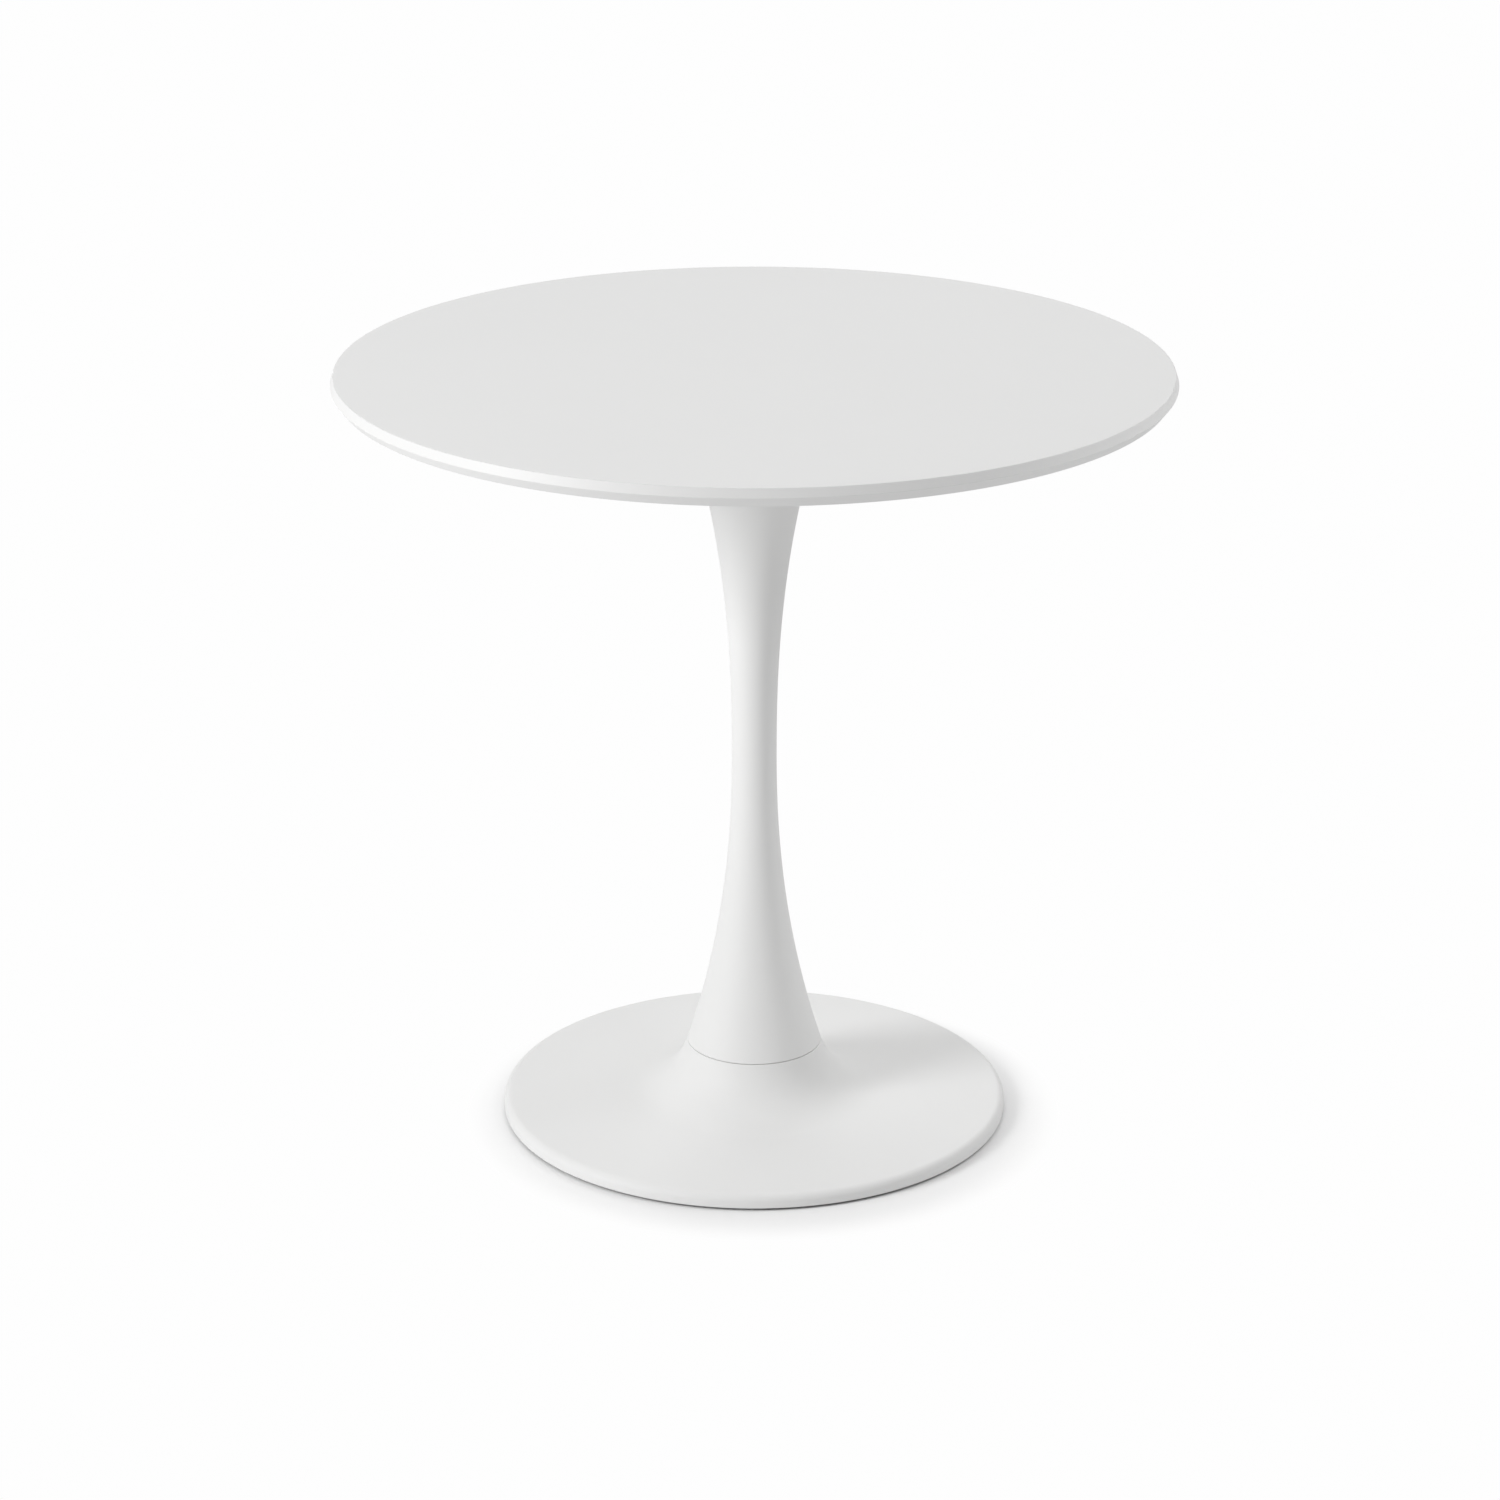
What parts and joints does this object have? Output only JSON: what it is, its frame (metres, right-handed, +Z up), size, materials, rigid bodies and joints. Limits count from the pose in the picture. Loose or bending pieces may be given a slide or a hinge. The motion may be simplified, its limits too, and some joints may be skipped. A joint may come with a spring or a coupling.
{
  "type": "round pedestal table",
  "caption": "Round pedestal table: thin bevelled round top on a flared column that blends into a wide low disc base with levelling glides.",
  "frame": {"origin": "on the floor under the column's axis, the middle of the bounding box's bottom face", "axes": "+Z up along the column's axis; X and Y are level and equal, because the table is round"},
  "size_m": [0.8, 0.8, 0.76],
  "materials": {
    "white_lacquer": "satin white lacquer on a fibreboard top",
    "white_powder_coat": "satin white powder coat",
    "zinc_steel": "zinc-plated steel",
    "black_steel": "black painted steel",
    "turned_brass": "turned brass",
    "grey_nylon": "moulded grey nylon",
    "black_rubber": "matt black rubber"
  },
  "bodies": {
    "table": {"table_top": "white_lacquer", "top_insert_1": "turned_brass", "top_insert_2": "turned_brass", "top_insert_3": "turned_brass", "top_insert_4": "turned_brass", "top_insert_5": "turned_brass", "top_insert_6": "turned_brass", "mounting_plate": "black_steel", "plate_screw_1": "zinc_steel", "plate_screw_2": "zinc_steel", "plate_screw_3": "zinc_steel", "plate_screw_4": "zinc_steel", "plate_screw_5": "zinc_steel", "plate_screw_6": "zinc_steel", "locating_ring": "black_steel", "column_shell": "white_powder_coat", "foot_ring": "black_steel", "tie_rod": "zinc_steel", "rod_washer": "zinc_steel", "rod_lock_washer": "zinc_steel", "rod_nut": "zinc_steel", "rod_jam_nut": "zinc_steel", "hub_block": "zinc_steel", "base_cover": "white_powder_coat", "support_tube": "black_steel", "base_plate": "black_steel", "hub_screw_1": "zinc_steel", "hub_screw_2": "zinc_steel", "hub_screw_3": "zinc_steel", "hub_screw_4": "zinc_steel", "rim_gasket": "black_rubber", "glide_bush_1": "zinc_steel", "glide_bush_2": "zinc_steel", "glide_bush_3": "zinc_steel", "glide_bush_4": "zinc_steel"},
    "glide_pad_body_1": {"glide_pad_1": "grey_nylon"},
    "glide_stud_body_1": {"glide_stud_1": "zinc_steel"},
    "glide_pad_body_2": {"glide_pad_2": "grey_nylon"},
    "glide_stud_body_2": {"glide_stud_2": "zinc_steel"},
    "glide_pad_body_3": {"glide_pad_3": "grey_nylon"},
    "glide_stud_body_3": {"glide_stud_3": "zinc_steel"},
    "glide_pad_body_4": {"glide_pad_4": "grey_nylon"},
    "glide_stud_body_4": {"glide_stud_4": "zinc_steel"}
  },
  "joints": [
    {"name": "glide_1_slide", "type": "slide", "parent": "table", "child": "glide_pad_body_1", "axis": [0, 0, -1], "range_m": [0, 0.004]},
    {"name": "glide_1_turn", "type": "hinge", "parent": "glide_pad_body_1", "child": "glide_stud_body_1", "pos_m": [0.13789, 0.13789, 0.008], "axis": [0, 0, -1], "range_deg": [0, 1150]},
    {"name": "glide_2_slide", "type": "slide", "parent": "table", "child": "glide_pad_body_2", "axis": [0, 0, -1], "range_m": [0, 0.004]},
    {"name": "glide_2_turn", "type": "hinge", "parent": "glide_pad_body_2", "child": "glide_stud_body_2", "pos_m": [-0.13789, 0.13789, 0.008], "axis": [0, 0, -1], "range_deg": [0, 1150]},
    {"name": "glide_3_slide", "type": "slide", "parent": "table", "child": "glide_pad_body_3", "axis": [0, 0, -1], "range_m": [0, 0.004]},
    {"name": "glide_3_turn", "type": "hinge", "parent": "glide_pad_body_3", "child": "glide_stud_body_3", "pos_m": [-0.13789, -0.13789, 0.008], "axis": [0, 0, -1], "range_deg": [0, 1150]},
    {"name": "glide_4_slide", "type": "slide", "parent": "table", "child": "glide_pad_body_4", "axis": [0, 0, -1], "range_m": [0, 0.004]},
    {"name": "glide_4_turn", "type": "hinge", "parent": "glide_pad_body_4", "child": "glide_stud_body_4", "pos_m": [0.13789, -0.13789, 0.008], "axis": [0, 0, -1], "range_deg": [0, 1150]}
  ],
  "couplings": [
    {"joint": "glide_1_slide", "follows": "glide_1_turn", "m_per_rad": 0.00019894},
    {"joint": "glide_2_slide", "follows": "glide_2_turn", "m_per_rad": 0.00019894},
    {"joint": "glide_3_slide", "follows": "glide_3_turn", "m_per_rad": 0.00019894},
    {"joint": "glide_4_slide", "follows": "glide_4_turn", "m_per_rad": 0.00019894}
  ]
}
